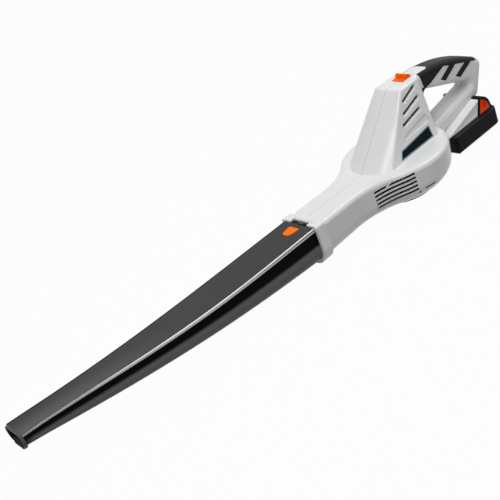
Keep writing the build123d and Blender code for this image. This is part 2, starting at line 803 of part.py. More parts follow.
# End bell with cooling windows and the rear bearing
bell = Pos(0, 0, motor_top + bell_height / 2) * Cylinder(motor_radius, bell_height)
bell = fillet(bell.edges().sort_by(Axis.Z)[-1], bell_wall)
bell_space = Cylinder(motor_radius - bell_wall, bell_height)
bell = bell - Pos(0, 0, motor_top + bell_height / 2 - bell_wall) * bell_space
rear_boss_height = bell_height - 2.0
rear_boss_z = motor_top + bell_height - rear_boss_height / 2
bell = bell + Pos(0, 0, rear_boss_z) * Cylinder(boss_outer, rear_boss_height)
rear_bearing_z = motor_top + bell_height - rear_boss_height + bearing_length / 2
bell = bell - Pos(0, 0, rear_bearing_z) * Cylinder(bearing_radius, bearing_length)
bell = bell - Pos(0, 0, motor_top + bell_height) * Cylinder(shaft_radius + shaft_hole_clearance, far)
for index in range(4):
    window = Pos(motor_radius, 0, motor_top + bell_wall) * Box(*bell_window)
    bell = bell - Rot(0, 0, 45 + 90 * index) * window
save(bell, "motor_end_bell")

# Bearings, magnets, shaft, armature
for name, z in (("front_bearing", front_bearing_z), ("rear_bearing", rear_bearing_z)):
    race = Cylinder(bearing_radius, bearing_length)
    race = race - Cylinder(shaft_radius + running_clearance, bearing_length)
    save(Pos(0, 0, z) * race, name)
magnet_outer = motor_radius - motor_wall
magnet_ring = Circle(magnet_outer) - Circle(magnet_outer - magnet_thickness)
magnet_gap = Rectangle(magnet_gap_width, 4 * magnet_outer)
magnet_overlap = 2.0
magnet_low = plate_top + armature_gap - magnet_overlap
magnet_length = armature_length + 2 * magnet_overlap
magnets = extrude(Plane.XY.offset(magnet_low) * (magnet_ring - magnet_gap), magnet_length)
save(magnets, "motor_magnets")
shaft_over = 2.0
shaft_low = fan_bottom - nut_height - shaft_over
shaft_high = rear_bearing_z + bearing_length / 2
shaft = Cylinder(shaft_radius, shaft_high - shaft_low)
save(Pos(0, 0, (shaft_low + shaft_high) / 2) * shaft, "motor_shaft")
stack = Circle(armature_radius)
slot_mouth = Rectangle(armature_radius / 2, 2.0)
slot_pocket = Circle(armature_radius / 5)
for index in range(armature_slot_count):
    turn = index * 360 / armature_slot_count
    opening = Pos(armature_radius * 0.875, 0) * slot_mouth + Pos(armature_radius * 0.58, 0) * slot_pocket
    stack = stack - Rot(0, 0, turn) * opening
stack = stack - Circle(shaft_radius)
armature_low = plate_top + armature_gap
armature = extrude(Plane.XY.offset(armature_low) * stack, armature_length)
commutator = Circle(commutator_radius) - Circle(shaft_radius)
commutator_place = Plane.XY.offset(armature_low + armature_length)
armature = armature + extrude(commutator_place * commutator, commutator_length)
save(armature, "motor_armature")

# Impeller: a back disc, curved blades and an eye ring below
blade_path = ThreePointArc((blade_root_radius, 0), blade_bow, (fan_radius - 1, blade_sweep))
blade = extrude(Plane.XY.offset(fan_bottom) * trace(blade_path, blade_thickness), fan_height)
fan = Pos(0, 0, fan_top - fan_disc_thickness / 2) * Cylinder(fan_radius, fan_disc_thickness)
fan = fan + Pos(0, 0, (fan_top + fan_bottom) / 2) * Cylinder(fan_hub_radius, fan_height)
for index in range(blade_count):
    turned = Rot(0, 0, index * 360 / blade_count) * blade
    fan = fan + (turned & Pos(0, 0, fan_top) * Cylinder(fan_radius, 3 * fan_height))
eye_ring = Circle(fan_radius) - Circle(fan_eye_radius)
fan = fan + extrude(Plane.XY.offset(fan_bottom) * eye_ring, eye_ring_thickness)
fan = fan - Pos(0, 0, fan_top) * Cylinder(shaft_radius, 4 * fan_height)
save(fan, "impeller")
nut = RegularPolygon(nut_radius, nut_sides) - Circle(shaft_radius)
save(extrude(Plane.XY.offset(fan_bottom - nut_height) * nut, nut_height), "impeller_nut")

motor_screws = []
motor_screw_length = plate_thickness + 0.7 * can_floor
for x, y in motor_screw_places:
    head_z = plate_bottom - motor_screw_head_height / 2
    head = Pos(x, y, head_z) * Cylinder(motor_screw_head_radius, motor_screw_head_height)
    shank = Cylinder(screw_radius, motor_screw_length)
    motor_screws.append(head + Pos(x, y, plate_bottom + motor_screw_length / 2) * shank)
save(Compound(children=motor_screws), "motor_screws")

# Control board on the motor plate
board_face = plate_top + board_stand + board_thickness
board = Pos(board_x, 0, board_face - board_thickness / 2) * Box(*board_size, board_thickness)
capacitor_radius = 4.0
capacitor_height = 10.0
sink_size = (10.0, 14.0, 6.0)
capacitor = Cylinder(capacitor_radius, capacitor_height)
board = board + Pos(board_x - 6, 8, board_face + capacitor_height / 2) * capacitor
board = board + Pos(board_x + 5, -7, board_face + sink_size[2] / 2) * Box(*sink_size)
save(board, "control_board")

# Switch slider and the switch under it
track_floor = tower_top - switch_recess
slider_points = [
    (0, 0),
    (0, 2.0),
    (0.45 * switch_length, 2.4),
    (0.52 * switch_length, switch_ridge_height - 0.4),
    (0.70 * switch_length, switch_ridge_height),
    (switch_length, 3.4),
    (switch_length, 0),
]
slider_side = Polyline(*[(switch_front + x, track_floor + z) for x, z in slider_points], close=True)
slider = through_y(make_face(slider_side), switch_half_width)
slider = fillet(slider.edges().filter_by(Axis.Y).sort_by(Axis.Z)[-2:], 0.8)
stem_depth = wall - switch_recess + 3.0
stem = Box(switch_stem_length, 2 * switch_slot_half_width, stem_depth)
slider = slider + Pos(stem_middle, 0, track_floor - stem_depth / 2) * stem
save(slider, "switch_slider")
switch_ceiling = tower_top - wall
module_size = (slot_length + 2 * switch_wall, switch_width, switch_height)
module_x = stem_middle + switch_travel / 2
module = Pos(module_x, 0, switch_ceiling - switch_height / 2) * Box(*module_size)
groove = Box(slot_length, 2 * (switch_slot_half_width + fit_clearance), 2 * (stem_depth - 1))
module = module - Pos(module_x, 0, switch_ceiling) * groove
for side in (-1, 1):
    tab_z = switch_ceiling - switch_height - tab_size[2] / 2
    module = module + Pos(module_x + side * tab_spread, 0, tab_z) * Box(*tab_size)
save(module, "switch_module")

# Terminal block at the front end of the battery rail
terminal_z = foot_floor_z + rail_neck_height + rail_head_height / 2
terminal = Box(terminal_thickness, 2 * rail_head_half_width - 2, rail_head_height - 0.4)
terminal = Pos(rail_front + terminal_thickness / 2, 0, terminal_z) * terminal
contact_x = rail_front + terminal_thickness + contact_size[0] / 2 - 1
for side in (-1, 1):
    contact = Pos(contact_x, side * contact_spread, terminal_z) * Box(*contact_size)
    terminal = terminal + contact
save(terminal, "terminal_block")

# Battery: a lower tray, an upper cover with rail and hump, and the cells between them
battery_top = foot_floor_z - battery_gap
battery_bottom = battery_top - battery_height
battery_length = battery_rear - battery_front
battery_x = (battery_front + battery_rear) / 2
seam_z = battery_bottom + battery_seam


def battery_block(inset):
    size = (battery_length - 2 * inset, 2 * (battery_half_width - inset), battery_height - 2 * inset)
    block = Pos(battery_x, 0, (battery_top + battery_bottom) / 2) * Box(*size)
    return chamfer(block.edges(), battery_chamfer - inset / 2)


hump_slope = foot_slant / (foot_rear_top - foot_floor)


def hump_front(z):
    """The hump's front face lies behind the foot's slanted rear face."""
    return foot_rear + battery_gap + (z - foot_floor_z) * hump_slope


def hump_solid(inset):
    low = battery_top - battery_chamfer - inset
    high = pan_top + hump_top - inset
    rear = hump_rear - inset
    corner = hump_front(high) + inset
    flat = corner + hump_flat
    bulge_x = flat + hump_bulge[0] * (rear - flat)
    bulge = (bulge_x, battery_top + hump_bulge[1] * (high - battery_top))
    side = make_face(
        [
            Line((hump_front(low) + inset, low), (corner, high)),
            Line((corner, high), (flat, high)),
            ThreePointArc((flat, high), bulge, (rear, battery_top)),
            Line((rear, battery_top), (rear, low)),
            Line((rear, low), (hump_front(low) + inset, low)),
        ]
    )
    return through_y(side, cheek - inset)


below_seam = Pos(0, 0, seam_z - far) * Box(4 * far, 4 * far, 2 * far)
case = battery_block(0)
space = battery_block(battery_wall)
save((case & below_seam) - space, "battery_tray")

cover = case - below_seam + hump_solid(0)
hump_inside = hump_solid(battery_wall)
cover = cover - space - hump_inside
channel_half_width = handle_half_width + channel_clearance
channel_floor = pan_top + hump_channel_floor
channel_front = hump_front(battery_top) - channel_wall
channel = Box(far, 2 * channel_half_width, far)
channel = Pos(channel_front + far / 2, 0, channel_floor + far / 2) * channel
liner = Box(far, 2 * (channel_half_width + channel_wall), far)
liner = Pos(channel_front + far / 2, 0, channel_floor - channel_wall + far / 2) * liner
cover = cover + (liner & hump_solid(0)) - channel
rail_end_gap = terminal_thickness + 0.5
rail_length = foot_rear - rail_front - terminal_thickness
rail_middle = rail_front + rail_end_gap + rail_length / 2
rail_top = foot_floor_z + rail_neck_height + rail_head_height - slide_clearance
neck_top = foot_floor_z + rail_neck_height + slide_clearance
neck_low = battery_top - battery_wall
rail_neck = Box(rail_length, 2 * rail_neck_half_width, neck_top - neck_low)
rail_head = Box(rail_length, 2 * rail_head_half_width, rail_top - neck_top)
rail = Pos(rail_middle, 0, (neck_low + neck_top) / 2) * rail_neck
rail = rail + Pos(rail_middle, 0, (neck_top + rail_top) / 2) * rail_head
cover = cover + (rail - hump_solid(0))
contact_room = 1.7
slit = Box(contact_size[0] + 4 * contact_room, contact_size[1] + 2 * contact_room, rail_top - neck_low)
for side in (-1, 1):
    slit_place = Pos(contact_x, side * contact_spread, (neck_low + rail_top) / 2 - 1)
    cover = cover - slit_place * slit

# Side buttons: a sector in each cheek of the hump, pressed inwards
button_floor = battery_top + 2.0
button_ceiling = pan_top + hump_top - 3.8
button_rear = hump_rear - button_rear_margin


def button_face(grow):
    front_low = (hump_front(button_floor) + button_margin, button_floor)
    front_high = (hump_front(button_ceiling) + button_margin, button_ceiling)
    rear_low = (button_rear, button_floor)
    bulge_x = front_high[0] + button_bulge * (button_rear - front_high[0])
    bulge = (bulge_x, button_floor + button_bulge * (button_ceiling - button_floor))
    arc = ThreePointArc(front_high, bulge, rear_low)
    sector = make_face([Line(front_low, front_high), arc, Line(rear_low, front_low)])
    return offset(sector, grow) if grow else sector


for name, side in (("left", 1), ("right", -1)):
    button = extrude(Plane.XZ.offset(-side * (cheek + button_proud)) * button_face(0), side * button_depth)
    flange_place = Plane.XZ.offset(-side * (cheek - battery_wall - fit_clearance))
    flange = extrude(flange_place * button_face(flange_reach), side * flange_thickness)
    flange = flange & hump_solid(battery_wall + fit_clearance)
    hole = Plane.XZ.offset(-side * (cheek + button_proud)) * button_face(button_clearance)
    hole = extrude(hole, side * (button_depth + button_travel + fit_clearance))
    cover = cover - hole - catch_solid(side, slide_clearance)
    save(button + flange, f"battery_button_{name}")
    foot_length = catch_y - channel_half_width - channel_wall
    root_y = side * (channel_half_width + channel_wall + foot_length / 2)
    catch_root = Box(catch_thickness, foot_length, catch_height)
    catch_root = Pos(catch_rear - catch_thickness / 2, root_y, catch_z) * catch_root
    save(catch_solid(side, 0) + catch_root, f"battery_catch_{name}")
save(cover, "battery_cover")

# Cells lying across the pack in a cradle, with a protection board
cell_z = battery_bottom + battery_wall + cell_stand + cell_diameter / 2
cells = []
cell_first = battery_x - (cell_count - 1) * cell_pitch / 2
for index in range(cell_count):
    x = cell_first + index * cell_pitch
    cells.append(along_y(x, cell_z, cell_diameter / 2, -cell_length / 2, cell_length / 2))
save(Compound(children=cells), "battery_cells")
cradle_height = cell_stand + cell_diameter / 3
cradle_margin = 4.0
cradle = Box(cell_count * cell_pitch - 2 * cradle_margin, cell_length - 2 * cradle_margin, cradle_height)
cradle = Pos(battery_x, 0, battery_bottom + battery_wall + cradle_height / 2) * cradle
for index in range(cell_count):
    x = cell_first + index * cell_pitch
    cradle = cradle - along_y(x, cell_z, cell_diameter / 2, -cell_length, cell_length)
save(cradle, "cell_cradle")
protection_size = (62.0, 40.0, board_thickness)
protection_x = battery_x - cell_pitch / 2
protection = Pos(protection_x, 0, cell_z + (cell_diameter + board_thickness) / 2) * Box(*protection_size)
save(protection, "protection_board")
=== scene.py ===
import math

import bpy
from mathutils import Euler, Matrix, Vector


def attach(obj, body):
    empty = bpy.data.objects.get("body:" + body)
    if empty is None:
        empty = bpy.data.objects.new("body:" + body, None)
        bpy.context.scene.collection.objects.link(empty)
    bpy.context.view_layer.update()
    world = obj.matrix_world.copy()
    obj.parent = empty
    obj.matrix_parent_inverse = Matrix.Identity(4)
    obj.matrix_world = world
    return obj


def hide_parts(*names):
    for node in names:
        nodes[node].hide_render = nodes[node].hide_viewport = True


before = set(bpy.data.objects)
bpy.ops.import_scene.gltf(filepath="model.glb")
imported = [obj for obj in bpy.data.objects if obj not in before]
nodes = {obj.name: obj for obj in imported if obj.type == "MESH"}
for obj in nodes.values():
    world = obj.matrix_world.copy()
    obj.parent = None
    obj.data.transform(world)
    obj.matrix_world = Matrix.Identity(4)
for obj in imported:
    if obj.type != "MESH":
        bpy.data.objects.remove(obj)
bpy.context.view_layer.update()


# Shell: two halves of off-white injection-moulded plastic, screwed together along the
# middle plane, where a fine seam shows. The mould left a satin grain, and handling has
# left faint grey scuffs.
class Wire:
    """A value in a material. Arithmetic on it adds Math nodes."""

    def __init__(self, tree, socket=None):
        self.tree = tree
        self.socket = socket

    def node(self, kind, settings=None, inputs=None, output=0):
        made = self.tree.nodes.new(kind)
        for name, value in (settings or {}).items():
            setattr(made, name, value)
        for name, value in (inputs or {}).items():
            if isinstance(value, Wire):
                self.tree.links.new(value.socket, made.inputs[name])
            else:
                made.inputs[name].default_value = value
        return Wire(self.tree, made.outputs[output])

    def math(self, operation, *values):
        return self.node("ShaderNodeMath", {"operation": operation}, dict(enumerate(values)))

    def __add__(self, other):
        return self.math("ADD", self, other)

    def __radd__(self, other):
        return self.math("ADD", other, self)

    def __sub__(self, other):
        return self.math("SUBTRACT", self, other)

    def __rsub__(self, other):
        return self.math("SUBTRACT", other, self)

    def __mul__(self, other):
        return self.math("MULTIPLY", self, other)

    def __rmul__(self, other):
        return self.math("MULTIPLY", other, self)

    def __gt__(self, other):
        return self.math("GREATER_THAN", self, other)

    def __lt__(self, other):
        return self.math("LESS_THAN", self, other)

    def least(self, other):
        return self.math("MINIMUM", self, other)

    def most(self, other):
        return self.math("MAXIMUM", self, other)

    def root(self):
        return self.math("SQRT", self)

    def size(self):
        """The value without its sign."""
        return self.math("ABSOLUTE", self)

    def between(self, low, high):
        """0 below low, 1 above high, and a smooth rise between them."""
        settings = {"interpolation_type": "SMOOTHSTEP"}
        inputs = {"Value": self, "From Min": low, "From Max": high}
        return self.node("ShaderNodeMapRange", settings, inputs)

    def mix(self, first, second):
        """Blend two colours, with this value as the share of the second."""
        settings = {"data_type": "RGBA"}
        return self.node("ShaderNodeMix", settings, {0: self, 6: first, 7: second}, 2)

    def axis(self, name):
        """One part of a vector: X, Y or Z."""
        return self.node("ShaderNodeSeparateXYZ", None, {"Vector": self}, name)

    def stretched(self, scale):
        """A place with its X, Y and Z multiplied by three numbers."""
        return self.node("ShaderNodeMapping", None, {"Vector": self, "Scale": scale})

    def feed(self, shader, name):
        self.tree.links.new(self.socket, shader.inputs[name])


def new_finish(name, gloss=0.5):
    """A material, its shader and a wire to its Object coordinates."""
    material = bpy.data.materials.new(name)
    material.use_nodes = True
    tree = material.node_tree
    shader = tree.nodes["Principled BSDF"]
    shader.inputs["Specular IOR Level"].default_value = gloss
    place = Wire(tree).node("ShaderNodeTexCoord", output="Object")
    return material, shader, place


def noise(place, scale, detail=2.0):
    inputs = {"Vector": place, "Scale": scale, "Detail": detail}
    return place.node("ShaderNodeTexNoise", None, inputs)


def clouding(place, scale):
    """Soft, cloudy changes in a surface."""
    return noise(place, scale, detail=3.0)


def scuffing(place):
    """Thin scuffs along the tool: 1 in the middle of each, and 0 between them."""
    streaks = noise(place.stretched((22.0, 160.0, 160.0)), 1.0, detail=4.0)
    return streaks.between(0.62, 0.78)


def bump(shader, height, depth, strength):
    inputs = {"Height": height, "Distance": depth, "Strength": strength}
    height.node("ShaderNodeBump", None, inputs).feed(shader, "Normal")


def dress(material, *names):
    for name in names:
        slots = nodes[name].data.materials
        slots.clear()
        slots.append(material)


shell_colour = (0.80, 0.80, 0.80, 1)
shell_worn = (0.73, 0.73, 0.72, 1)
shell_rough = 0.18
shell_rough_change = 0.08
shell_scuff_tint = 0.3
shell_cloud_tint = 0.15
shell_cloud = 18.0
shell_grain = 1600.0
shell_grain_depth = 0.0001
shell_grain_strength = 0.25
seam_colour = (0.30, 0.30, 0.30, 1)
seam_half_width = 0.00022
shell_white, shell_shader, place = new_finish("shell_white")
cloud = clouding(place, shell_cloud)
scuff = scuffing(place)
seam = place.axis("Y").size() < seam_half_width
tint = scuff * shell_scuff_tint + cloud * shell_cloud_tint
seam.mix(tint.mix(shell_colour, shell_worn), seam_colour).feed(shell_shader, "Base Color")
shell_gloss = shell_rough + cloud * shell_rough_change + scuff * shell_rough_change
shell_gloss.feed(shell_shader, "Roughness")
bump(shell_shader, noise(place, shell_grain), shell_grain_depth, shell_grain_strength)
dress(shell_white, "housing_left", "housing_right")

# Outlet collar: a white band plugged into the snout. The slot for the latch is open at
# the front, and painted shade darkens it where the scoop behind it turns down into the slot.
notch_half_width = 0.0171
notch_back = -0.1865
notch_floor = 0.05
notch_shade_low, notch_shade_high = 0.0615, 0.0648
notch_shade_colour = (0.012, 0.012, 0.012, 1)
notch_shade_cover = 0.96
notch_shade_rough = 0.4
collar_rough = 0.28
collar_rough_change = 0.1
collar_white, collar_shader, place = new_finish("collar_white")
along, across, up = [place.axis(name) for name in "XYZ"]
in_notch = (across.size() < notch_half_width) * (along < notch_back) * (up > notch_floor)
# Painted shade in the latch slot: dark in its lower part, fading out towards its top, and rougher
# there.
notch_shade = in_notch * (1.0 - up.between(notch_shade_low, notch_shade_high))
(notch_shade * notch_shade_cover).mix(shell_colour, notch_shade_colour).feed(collar_shader, "Base Color")
cloud = clouding(place, shell_cloud)
collar_gloss = collar_rough + cloud * collar_rough_change + notch_shade * notch_shade_rough
collar_gloss.feed(collar_shader, "Roughness")
bump(collar_shader, noise(place, shell_grain), shell_grain_depth, shell_grain_strength)
dress(collar_white, "outlet_collar")


# Grip: a soft black overmould let into the handle, with a matt, finely pebbled skin. Its
# faces that face up are painted paler, a painted highlight on its top.
def facing_up(place):
    """1 on a level face, 0 on an upright one and -1 on one seen from below."""
    return place.node("ShaderNodeNewGeometry", output="Normal").axis("Z")


grip_colour = (0.0022, 0.0022, 0.0022, 1)
grip_top_light = (0.022, 0.022, 0.022, 1)
grip_top_light_slope = (0.2, 0.8)
grip_top_light_least = 0.75
grip_rough = 0.46
grip_rough_change = 0.14
grip_rubber, grip_shader, place = new_finish("grip_rubber", gloss=0.12)
cloud = clouding(place, 25.0)
# Painted highlight: paler on faces that face up, a little cloudy.
painted_top_light = facing_up(place).between(*grip_top_light_slope)
painted_top_light = painted_top_light * (grip_top_light_least + cloud * (1.0 - grip_top_light_least))
painted_top_light.mix(grip_colour, grip_top_light).feed(grip_shader, "Base Color")
(grip_rough + cloud * grip_rough_change).feed(grip_shader, "Roughness")
bump(grip_shader, noise(place, 1100.0), depth=0.0003, strength=0.35)
dress(grip_rubber, "grip_left", "grip_right")

# Label plate: a thin glossy black plate let into the tower, with a pale blue line printed
# just inside its edge. Its face is bare.
label_corners = [(-0.0269, 0.0666), (0.0454, 0.0661), (0.0449, 0.0839), (-0.0194, 0.0784)]
label_colour = (0.004, 0.0045, 0.006, 1)
label_rough = 0.22
label_rough_change = 0.12
line_colour = (0.12, 0.38, 0.55, 1)
line_start = 0.0006
line_width = 0.0009
label_black, label_shader, place = new_finish("label_black", gloss=0.06)
along, up = [place.axis(name) for name in "XZ"]
edges = []
for (x, z), (next_x, next_z) in zip(label_corners, label_corners[1:] + label_corners[:1]):
    length = math.hypot(next_x - x, next_z - z)
    edges.append((up - z) * ((next_x - x) / length) - (along - x) * ((next_z - z) / length))
inset = edges[0]
for edge in edges[1:]:
    inset = inset.least(edge)
line = (inset > line_start) * (inset < line_start + line_width)
line.mix(label_colour, line_colour).feed(label_shader, "Base Color")
(label_rough + noise(place, 40.0) * label_rough_change).feed(label_shader, "Roughness")
dress(label_black, "label_plate")

# Nozzle tube: one long black moulding. Its flat top has a grey satin texture, with a
# painted highlight on its right half near the tip. Its sides are deep black above, with a
# painted reflection in dull grey below a line along the lower side, and the rim in front is
# painted lighter grey as a highlight. The two ridges along each top edge carry a painted
# highlight, a pale metallic strip, and on the right it reaches over the crown.
ridge_radius = 0.0013
ridge_flank = 0.0008
ridge_blur = 0.0001
crown_highlight = 0.0012
crown_highlight_run = (-0.66, -0.40)


def rise(along, first, *terms):
    """A curve along the tube: a polynomial of X, highest power first."""
    value = first
    for term in terms:
        value = along * value + term
    return value


def ridge(along, across, up, centre_out, centre_up):
    """1 on the face of a ridge of the tube that carries the painted highlight, and 0 away from
    it.
    """
    off_out = across.size() - centre_out
    off_up = up - centre_up
    reach = (off_out * off_out + off_up * off_up).root()
    near = 1.0 - reach.between(ridge_radius - ridge_blur, ridge_radius + ridge_blur)
    # On the right side, away from the tip, the painted highlight reaches further over the crown.
    flank = off_out + (across < 0.0) * along.between(*crown_highlight_run) * crown_highlight
    return near * flank.between(ridge_flank - ridge_blur, ridge_flank + ridge_blur)


tip_highlight = 0.65
full_highlight_run = (-0.62, -0.45)
side_highlight = 0.5
reflection_edge_blur = 0.003
top_slope = (0.9, 0.97)
top_depth = 0.004
top_highlight_run = (-0.66, -0.38)
top_highlight_half_width = 0.014
rim_front = -0.673
thin_rim_back = -0.6695
mouth_start = -0.655
mouth_darkening = 0.9
rim_half_width = 0.0223
rim_middle = 0.0724
rim_half_height = 0.0114
rim_inner = 0.76
lip_top = 0.0622
bore_half_width = 0.0186
bore_floor = 0.0659
bore_ceiling = 0.0801
side_colour = (0.0008, 0.0008, 0.0008, 1)
floor_reflection_colour = (0.165, 0.165, 0.165, 1)
top_colour = (0.068, 0.068, 0.068, 1)
top_dull = (0.055, 0.055, 0.055, 1)
top_highlight_colour = (0.115, 0.115, 0.115, 1)
rim_highlight_colour = (0.10, 0.10, 0.10, 1)
highlight_colour = (0.72, 0.72, 0.72, 1)
highlight_metal = 0.9
nozzle_rough = 0.3
top_rough = 0.2
highlight_rough = 0.4
nozzle_rough_change = 0.08
nozzle_black, nozzle_shader, place = new_finish("nozzle_black", gloss=0.03)
along, across, up = [place.axis(name) for name in "XYZ"]
out = across.size()
corner_out = rise(along, 1.6427, 2.4778, 1.2250, 0.2420, 0.0466)
corner_up = rise(along, -1.0976, -1.8795, -0.9983, -0.2081, 0.0467)
side_out = rise(along, 1.6482, 2.4881, 1.2326, 0.2464, 0.0487)
side_up = rise(along, -0.9673, -1.6714, -0.8820, -0.1858, 0.0447)
# The line along each side below which the painted reflection is grey.
reflection_edge = rise(along, 0.1190, 0.0256, 0.0367)
# Painted highlight on the ridges: a pale metallic strip, dimmer towards the tip and on the side
# ridge.
corner_ridge = ridge(along, across, up, corner_out, corner_up)
corner_ridge = corner_ridge * (tip_highlight + (1.0 - tip_highlight) * along.between(*full_highlight_run))
side_ridge = ridge(along, across, up, side_out, side_up)
ridge_highlight = corner_ridge.most(side_ridge * side_highlight)
# Painted reflection: dull grey on the lower sides below that line; left out in the bore and
# fading out at the mouth.
lower_reflection = (reflection_edge - up).between(-reflection_edge_blur, reflection_edge_blur)
top = facing_up(place).between(*top_slope) * (up > corner_up - top_depth)
bore = (out < bore_half_width) * (up > bore_floor) * (up < bore_ceiling)
at_rim = 1.0 - along.between(rim_front, mouth_start)
lower_reflection = lower_reflection * (1.0 - bore) * (1.0 - at_rim * mouth_darkening)
# Painted highlight: a paler band on the right half of the top near the tip, fading towards the
# collar.
painted_top_light = (-1.0 * across).between(-top_highlight_half_width, top_highlight_half_width)
painted_top_light = painted_top_light * (1.0 - along.between(*top_highlight_run))
# Painted highlight: the outer face of the rim in front of the lip is lighter grey.
rim_out = out * (1.0 / rim_half_width)
rim_up = (up - rim_middle).size() * (1.0 / rim_half_height)
on_rim = rim_out * rim_out * rim_out + rim_up * rim_up * rim_up > rim_inner
on_rim = on_rim * (along < thin_rim_back) * (up > lip_top)
cloud = clouding(place, 12.0)
top_with_highlight = painted_top_light.mix(cloud.mix(top_colour, top_dull), top_highlight_colour)
skin = top.mix(lower_reflection.mix(side_colour, floor_reflection_colour), top_with_highlight)
skin = on_rim.mix(skin, rim_highlight_colour)
ridge_highlight.mix(skin, highlight_colour).feed(nozzle_shader, "Base Color")
(ridge_highlight * highlight_metal).feed(nozzle_shader, "Metallic")
nozzle_gloss = nozzle_rough + top * top_rough + ridge_highlight * highlight_rough
(nozzle_gloss + cloud * nozzle_rough_change).feed(nozzle_shader, "Roughness")
bump(nozzle_shader, noise(place, 1500.0), depth=0.00008, strength=0.3)
dress(nozzle_black, "nozzle_tube")

# Mouth of the tube: a thin rim whose bore flares out to its edge. The tube is shown by a
# merged copy, with its rim drawn shorter, the tube behind it drawn forward to meet it and
# the front edge of its bore opened out.
stretch_start = -0.640
rim_back = -0.665
front_play = 0.00005
merge_distance = 0.000001
smooth_angle = 30
edge_half_width = 0.01835
edge_low, edge_high = 0.0661, 0.0799
bore_low, bore_high = 0.0662, 0.0798
mouth_low, mouth_high = 0.0631, 0.0820
mouth_flare = 1.11
mouth_spread = (mouth_high - mouth_low) / (bore_high - bore_low)
rim_share = (rim_front - thin_rim_back) / (rim_front - rim_back)
tube_stretch = (thin_rim_back - rim_back) / (rim_back - stretch_start)
tube_mesh = nodes["nozzle_tube"].data.copy()
mouthed_tube = bpy.data.objects.new("nozzle_tube_mouthed", tube_mesh)
bpy.context.scene.collection.objects.link(mouthed_tube)
bpy.ops.object.select_all(action="DESELECT")
mouthed_tube.select_set(True)
bpy.context.view_layer.objects.active = mouthed_tube
bpy.ops.object.mode_set(mode="EDIT")
bpy.ops.mesh.select_all(action="SELECT")
bpy.ops.mesh.customdata_custom_splitnormals_clear()
bpy.ops.mesh.remove_doubles(threshold=merge_distance)
bpy.ops.object.mode_set(mode="OBJECT")
for vertex in tube_mesh.vertices:
    x, y, z = vertex.co
    at_front = abs(x - rim_front) < front_play
    if at_front and abs(y) < edge_half_width and edge_low < z < edge_high:
        vertex.co.y = y * mouth_flare
        vertex.co.z = mouth_low + (z - bore_low) * mouth_spread
    if x < rim_back:
        vertex.co.x = thin_rim_back + (x - rim_back) * rim_share
    elif x < stretch_start:
        vertex.co.x = x + (x - stretch_start) * tube_stretch
bpy.ops.object.shade_smooth_by_angle(angle=math.radians(smooth_angle))
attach(mouthed_tube, "nozzle")
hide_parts("nozzle_tube")


# Orange pieces: the switch slider on the crown of the tower and the release button on the
# nozzle, both small glossy mouldings.
def moulded(name, colour, second_tone, rough, grain_scale, grain_depth, gloss=0.5):
    """A moulded plastic with grain, cloudy gloss and a few scuffs."""
    material, shader, place = new_finish(name, gloss)
    cloud = clouding(place, 18.0)
    scuff = scuffing(place)
    (scuff * 0.35 + cloud * 0.2).mix(colour, second_tone).feed(shader, "Base Color")
    (rough - 0.06 + cloud * 0.12 + scuff * 0.08).feed(shader, "Roughness")
    bump(shader, noise(place, grain_scale), grain_depth, strength=0.35)
    return material


orange_plastic = moulded(
    "orange_plastic",
    colour=(1.0, 0.20, 0.0, 1),
    second_tone=(0.85, 0.15, 0.0, 1),
    rough=0.38,
    grain_scale=1500.0,
    grain_depth=0.0001,
    gloss=0.05,
)
dress(orange_plastic, "nozzle_release_button")
switch_orange = moulded(
    "switch_orange",
    colour=(1.0, 0.13, 0.0, 1),
    second_tone=(0.85, 0.10, 0.0, 1),
    rough=0.38,
    grain_scale=1500.0,
    grain_depth=0.0001,
    gloss=0.05,
)
dress(switch_orange, "switch_slider")

# Battery buttons: red-orange mouldings, one in each cheek of the pack. The middle of the
# pad is painted deep red as painted shade, and its rim is orange.
pad_centre = (0.1665, 0.0, 0.0525)
pad_radius = 0.0068
pad_shade_colour = (1.0, 0.02, 0.0, 1)
pad_rim_colour = (1.0, 0.095, 0.002, 1)
pad_shade_fade_run = (pad_radius * 0.6, pad_radius * 1.3)
button_rough = 0.3
button_rough_change = 0.12
red_plastic, red_shader, place = new_finish("red_plastic", gloss=0.06)
flat = place.node("ShaderNodeVectorMath", {"operation": "SUBTRACT"}, {0: place, 1: pad_centre})
flat = flat.node("ShaderNodeVectorMath", {"operation": "MULTIPLY"}, {0: flat, 1: (1.0, 0.0, 1.0)})
from_pad = flat.node("ShaderNodeVectorMath", {"operation": "LENGTH"}, {0: flat}, "Value")
# Painted shade: deep red in the middle of the pad, fading to orange at its rim.
pad_shade_fade = from_pad.between(*pad_shade_fade_run)
pad_shade_fade.mix(pad_shade_colour, pad_rim_colour).feed(red_shader, "Base Color")
(button_rough + clouding(place, 60.0) * button_rough_change).feed(red_shader, "Roughness")
bump(red_shader, noise(place, 1500.0), depth=0.0001, strength=0.3)
dress(red_plastic, "battery_button_left", "battery_button_right")

# Battery pack: a tray and a cover of textured black plastic, welded at a seam. The
# chamfers round the top are painted paler than the sides, a painted highlight on them.
battery_colour = (0.0055, 0.0055, 0.0055, 1)
battery_chamfer_light = (0.034, 0.034, 0.034, 1)
chamfer_from = (0.3, 0.5)
chamfer_to = (0.85, 0.95)
chamfer_light_least = 0.7
battery_rough = 0.42
battery_rough_change = 0.14
battery_black, battery_shader, place = new_finish("battery_black", gloss=0.07)
# Painted highlight: chamfers that slope up are paler, a little cloudy.
upward = facing_up(place)
chamfered = upward.between(*chamfer_from) * (1.0 - upward.between(*chamfer_to))
cloud = clouding(place, 30.0)
second_tone = chamfered * (chamfer_light_least + cloud * (1.0 - chamfer_light_least))
second_tone.mix(battery_colour, battery_chamfer_light).feed(battery_shader, "Base Color")
(battery_rough + cloud * battery_rough_change).feed(battery_shader, "Roughness")
bump(battery_shader, noise(place, 900.0), depth=0.00025, strength=0.35)
dress(battery_black, "battery_cover", "battery_tray")

